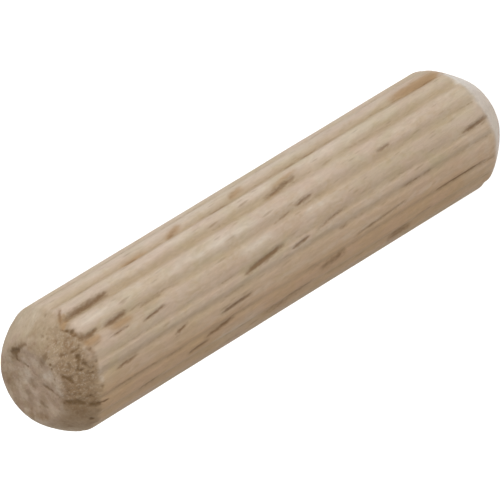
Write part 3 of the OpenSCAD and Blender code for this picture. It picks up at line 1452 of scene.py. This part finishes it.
@dataclass(frozen=True)
class BareBeech:
    """Unfinished steamed beech, rolled smooth on the lands and torn on the ends.

    Args:
        light: the palest streaks and patches: painted highlights on the lands, and some paler wood.
        pale: the paler wood, which is also painted light on the side that faces the key light.
        tan: the usual wood.
        olive: the duller bands between growth rings.
        rose: the pinkish tinge of steamed wood.
        shade: painted shade in the bottoms of the flutes, and the darker tone of the upper chamfer.
        painted_shade_side: painted shade, a darker, redder brown on the side away from the key light.
        fleck: the rays and pores.
        amber: the stained patches.
        end_grain: the sawn end face.
        torn_grain: the torn chamfer.
        planed_and_rim_lit: the clean-cut lower chamfer, near white with a painted rim light.
        hollow: the dark of pits and cracks, partly the open grain's own colour and partly painted shade.
        lean: degrees that the grain leans from the axis, in the plane across the front.
        grain: the patterns.
        sheen: the strength of its reflections.
        roughness: the roughness of the smooth wood.
        relief: height of the fibres' relief, in millimetres.
    """

    light: Colour = (0.770, 0.655, 0.535)
    pale: Colour = (0.725, 0.600, 0.480)
    tan: Colour = (0.600, 0.445, 0.298)
    olive: Colour = (0.545, 0.455, 0.280)
    rose: Colour = (0.660, 0.485, 0.395)
    shade: Colour = (0.485, 0.370, 0.232)
    painted_shade_side: Colour = (0.585, 0.348, 0.176)
    fleck: Colour = (0.220, 0.125, 0.058)
    amber: Colour = (0.440, 0.265, 0.130)
    end_grain: Colour = (0.490, 0.350, 0.265)
    torn_grain: Colour = (0.258, 0.150, 0.072)
    planed_and_rim_lit: Colour = (0.910, 0.870, 0.825)
    hollow: Colour = (0.180, 0.104, 0.043)
    lean: float = 5.0
    grain: BeechGrain = BeechGrain()
    sheen: float = 0.12
    roughness: float = 0.62
    relief: float = 0.03

    def _rolled(self, sheet: WoodSheet, tone: dict[str, Socket], uneven: Socket) -> Socket:
        """The colour of the rolled shank and the clean-cut chamfers, with painted light on the side that
        faces the key light and on the lower chamfer, and painted shade in the flutes and on the side away
        from the key light.

        Args:
            sheet: the material's tree.
            tone: the patterns by name.
            uneven: the swing of the mottle and the speckle about 0.

        Returns:
            The colour.
        """
        groove_shade = sheet.attribute("groove_shade")
        # Painted light: the side that faces the key light is paler, less so in the flutes' bottoms.
        land = sheet.less(1.0, sheet.times(groove_shade, 0.8))
        lit_side_and_mottle = sheet.plus(sheet.times(sheet.attribute("pale"), land), uneven)
        lit_side_and_mottle = sheet.plus(lit_side_and_mottle, sheet.swing(tone["broad"], 0.25))
        return sheet.layered(
            sheet.mixed(sheet.kept(lit_side_and_mottle), self.tan, self.pale),
            (tone["bands"], 0.5, self.olive),
            (tone["tinge"], 0.5, self.rose),
            # Painted shade on the side away from the key light and in the flutes' bottoms, then the upper
            # chamfer's darker tone and the lower chamfer's painted rim light.
            (sheet.attribute("painted_shade_side"), 1.0, self.painted_shade_side),
            (groove_shade, 0.5, self.shade),
            (sheet.attribute("cut"), 0.55, self.shade),
            (sheet.attribute("planed_and_rim_lit"), 1.0, self.planed_and_rim_lit),
        )

    def _sawn(self, sheet: WoodSheet, tone: dict[str, Socket]) -> Socket:
        """The colour of the sawn end face: end grain with torn, pale, pinkish and dull patches.

        Args:
            sheet: the material's tree.
            tone: the patterns by name.

        Returns:
            The colour.
        """
        return sheet.layered(
            self.end_grain,
            (tone["plates"], 0.5, self.torn_grain),
            (sheet.stepped(0.4, 1.0, tone["blots"]), 0.6, self.pale),
            (tone["tinge"], 0.5, self.rose),
            (tone["mottle"], 0.25, self.olive),
        )

    def _torn(self, sheet: WoodSheet, tone: dict[str, Socket]) -> Socket:
        """The colour of torn grain: dark wood with tan tips and patches."""
        tips = sheet.plus(sheet.times(tone["speckle"], 0.1), sheet.times(tone["blots"], 0.3))
        return sheet.mixed(tips, self.torn_grain, self.tan)

    def _flecks(self, sheet: WoodSheet, tone: dict[str, Socket], speckled: Socket) -> Socket:
        """The mask of the dark strokes, the seams, the rays and the pores.

        Args:
            sheet: the material's tree.
            tone: the patterns by name.
            speckled: the swing of the speckle about 0.

        Returns:
            The mask from 0 to 1.
        """
        fleck = sheet.most(sheet.attribute("fleck"), sheet.times(sheet.attribute("seam"), 0.32))
        frayed = sheet.times(sheet.less(sheet.plus(tone["fibre"], tone["fine"]), 1.0), 0.22)
        stroke = sheet.plus(sheet.plus(fleck, frayed), sheet.times(speckled, 0.4))
        stroke = sheet.times(sheet.stepped(0.0, 0.95, stroke), sheet.stepped(0.0, 0.2, fleck))
        pores = sheet.plus(sheet.times(tone["small"], 0.5), sheet.times(tone["tiny"], 0.3))
        clear = sheet.less(1.0, sheet.most(sheet.attribute("torn"), sheet.attribute("planed_and_rim_lit")))
        return sheet.most(stroke, sheet.times(pores, clear))

    def material(self) -> bpy.types.Material:
        """Builds the wood's material.

        Returns:
            A material whose colour, roughness and relief come from streaks and pores along the leaning
            grain and from the mesh's masks, some of which paint light and shade into the colour.
        """
        made = bpy.data.materials.new("bare_beech")
        made.use_nodes = True
        sheet = WoodSheet(made.node_tree, self.lean)
        tone = {piece.name: sheet.pattern(getattr(self.grain, piece.name)) for piece in fields(self.grain)}
        torn, face = sheet.attribute("torn"), sheet.attribute("face")
        speckled = sheet.swing(tone["speckle"], 0.3)
        uneven = sheet.plus(sheet.swing(tone["mottle"], 0.55), speckled)
        flecks = self._flecks(sheet, tone, speckled)

        # Painted highlights, with some paler wood: the palest colour where the light marks lie, varied by
        # the mottle.
        highlight_and_pale = sheet.times(sheet.attribute("light"), sheet.plus(0.6, tone["mottle"]))
        stained = sheet.stepped(0.0, 1.0, sheet.plus(sheet.attribute("amber"), sheet.times(uneven, 0.5)))
        # Pale fibre tips in the torn grain, partly painted highlights where they catch the light.
        pale_fibres_and_glints = sheet.times(sheet.stepped(0.6, 1.0, tone["fine"]), sheet.times(torn, 0.3))
        # Pits between torn fibres, with the open mask, take the hollow colour, partly painted shade in the
        # pits.
        pitted = sheet.times(tone["specks"], sheet.times(torn, sheet.attribute("cut")))
        opened = sheet.most(sheet.stepped(0.05, 0.85, sheet.attribute("open")), pitted)
        wood = sheet.layered(
            self._rolled(sheet, tone, uneven),
            (face, 0.85, self._sawn(sheet, tone)),
            (sheet.kept(sheet.times(highlight_and_pale, 0.8)), 1.0, self.light),
            (sheet.attribute("dull"), 0.95, self._torn(sheet, tone)),
            (stained, 0.75, self.amber),
            (flecks, 0.85, self.fleck),
            (pale_fibres_and_glints, 1.0, self.pale),
            (opened, 0.8, self.hollow),
        )
        fibrous = sheet.plus(0.92, sheet.times(tone["fibre"], 0.09))

        cut = sheet.most(torn, face)
        worn = sheet.less(self.roughness, sheet.times(tone["broad"], 0.08))
        rough = sheet.plus(worn, sheet.times(cut, 0.2))
        relief = sheet.less(sheet.times(tone["fibre"], 0.4), flecks)
        relief = sheet.plus(relief, sheet.times(sheet.times(tone["speckle"], cut), 0.7))
        bump = sheet.put("ShaderNodeBump")
        sheet.feed(0.6, bump.inputs["Strength"])
        sheet.feed(self.relief * MM, bump.inputs["Distance"])
        sheet.feed(relief, bump.inputs["Height"])

        shader = sheet.put("ShaderNodeBsdfPrincipled")
        sheet.feed(sheet.mixed(1.0, wood, fibrous, "MULTIPLY"), shader.inputs["Base Color"])
        sheet.feed(sheet.plus(rough, sheet.times(flecks, 0.1)), shader.inputs["Roughness"])
        sheet.feed(self.sheen, shader.inputs["Specular IOR Level"])
        sheet.feed(bump.outputs["Normal"], shader.inputs["Normal"])
        sheet.feed(shader.outputs[0], sheet.put("ShaderNodeOutputMaterial").inputs["Surface"])
        return made


# ---------------------------------------------------------------- the studio


@dataclass(frozen=True)
class SoftLight:
    """A square soft light that shines on the pin and isn't seen by the camera.

    Args:
        name: the light's name.
        way: direction from the pin's middle to the light.
        size: length of its side, in metres.
        power: its power in watts.
        tint: its colour.
        distance: how far off it hangs, in metres.
    """

    name: str
    way: Vector
    size: float
    power: float
    tint: Colour
    distance: float = 0.5

    def hang(self, middle: Vector) -> None:
        """Hangs the light, turned to the pin's middle.

        Args:
            middle: the pin's middle, in metres.
        """
        data = bpy.data.lights.new(self.name, "AREA")
        data.shape, data.size, data.energy, data.color = "SQUARE", self.size, self.power, self.tint
        made = bpy.data.objects.new(self.name, data)
        made.location = middle + self.way.normalized() * self.distance
        made.rotation_euler = self.way.to_track_quat("Z", "Y").to_euler()
        made.visible_camera = False
        bpy.context.scene.collection.objects.link(made)


def way_at(turn: float, height: float) -> Vector:
    """The direction at a turn to the right of the front and a height above the level, in degrees."""
    turn, height = math.radians(turn), math.radians(height)
    return Vector((math.sin(turn) * math.cos(height), -math.cos(turn) * math.cos(height), math.sin(height)))


@dataclass(frozen=True)
class Studio:
    """A pale floor, soft light from all round and a camera that looks down on the standing pin.

    Args:
        middle: the middle of the pin, in metres.
        elevation: the camera's angle above the horizon, in degrees.
        roll: angle of the pin's upward direction in the frame, anticlockwise from the right, in degrees.
        distance: from the camera to the pin's middle, in metres.
        lens: focal length in millimetres.
        aim: how far the frame's centre lies from the pin's middle, to the right and up in the frame,
            in metres.
        key: the key light.
        back: a weaker light behind.
        fill: strength of the light from all round, and what the camera sees of it on top of that.
        glow: strength of the floor's own light, and what the camera sees of it on top of that.
        reach: half the length of the floor's side, in metres.
    """

    middle: Vector
    elevation: float = 37.5
    roll: float = 211.5
    distance: float = 0.5686
    lens: float = 699.0
    aim: tuple[float, float] = (-0.00027, -0.00015)
    key: SoftLight = SoftLight("key", way_at(42.0, 35.0), 0.35, 1.2, (0.98, 1.0, 1.0))
    back: SoftLight = SoftLight("back", Vector((-0.3, 1.0, 0.2)), 0.2, 0.45, (1.0, 1.0, 1.0))
    fill: tuple[float, float] = (0.4, 0.7)
    glow: tuple[float, float] = (0.17, 0.65)
    reach: float = 4.0

    def frame_axes(self) -> tuple[Vector, Vector, Vector]:
        """The camera's right, up and back directions.

        Returns:
            The three unit vectors, with the pin's +Z at the roll's angle in the frame.
        """
        tilt = math.radians(self.elevation)
        back = Vector((0.0, -math.cos(tilt), math.sin(tilt)))
        pin_up = Vector((0.0, math.sin(tilt), math.cos(tilt)))
        pin_side = Vector((1.0, 0.0, 0.0))
        angle = math.radians(self.roll)
        right = math.cos(angle) * pin_up + math.sin(angle) * pin_side
        up = math.sin(angle) * pin_up - math.cos(angle) * pin_side
        return right, up, back

    def camera(self) -> None:
        """Makes the scene's camera."""
        right, up, back = self.frame_axes()
        data = bpy.data.cameras.new("camera")
        data.lens = self.lens
        data.clip_start, data.clip_end = 0.01, 20.0
        made = bpy.data.objects.new("camera", data)
        place = self.middle + back * self.distance + right * self.aim[0] + up * self.aim[1]
        turn = Matrix((right, up, back)).transposed()
        made.matrix_world = Matrix.Translation(place) @ turn.to_4x4()
        bpy.context.scene.collection.objects.link(made)
        bpy.context.scene.camera = made

    def floor(self) -> None:
        """Lays a wide pale floor, which glows a little so that it stays white under the soft light."""
        far = self.reach
        corners = [(-far, -far, 0.0), (far, -far, 0.0), (far, far, 0.0), (-far, far, 0.0)]
        mesh = bpy.data.meshes.new("floor")
        mesh.from_pydata(corners, [], [(0, 1, 2, 3)])
        made = bpy.data.objects.new("floor", mesh)
        paint = bpy.data.materials.new("pale_floor")
        paint.use_nodes = True
        sheet = NodeSheet(paint.node_tree)
        shader = sheet.put("ShaderNodeBsdfPrincipled")
        sheet.feed((0.8, 0.8, 0.8), shader.inputs["Base Color"])
        sheet.feed(0.9, shader.inputs["Roughness"])
        sheet.feed((1.0, 1.0, 1.0), shader.inputs["Emission Color"])
        sheet.feed(sheet.whiter_to_camera(*self.glow), shader.inputs["Emission Strength"])
        sheet.feed(shader.outputs[0], sheet.put("ShaderNodeOutputMaterial").inputs["Surface"])
        mesh.materials.append(paint)
        bpy.context.scene.collection.objects.link(made)

    def lights(self) -> None:
        """Hangs the soft lights and fills the world with pale light, whitest to the camera."""
        self.key.hang(self.middle)
        self.back.hang(self.middle)
        world = bpy.data.worlds.new("studio")
        world.use_nodes = True
        sheet = NodeSheet(world.node_tree)
        backdrop = sheet.put("ShaderNodeBackground")
        sheet.feed((1.0, 1.0, 1.0), backdrop.inputs["Color"])
        sheet.feed(sheet.whiter_to_camera(*self.fill), backdrop.inputs["Strength"])
        sheet.feed(backdrop.outputs[0], sheet.put("ShaderNodeOutputWorld").inputs["Surface"])
        bpy.context.scene.world = world
        bpy.context.scene.view_settings.view_transform = "Standard"


def main() -> None:
    """Builds the studio and the pin, dresses the pin and reports each."""
    logging.basicConfig(level=logging.INFO, format="%(name)s: %(message)s")
    low, high = CAD_BOX
    studio = Studio(Vector((0.0, 0.0, (low.z + high.z) / 2.0)))
    studio.camera()
    studio.floor()
    studio.lights()
    LOG.info("studio: camera, floor and lights")
    pin = DowelPin().build()
    pin.data.materials.append(BareBeech().material())
    LOG.info("%s: dressed in bare beech", pin.name)


if __name__ == "__main__":
    main()
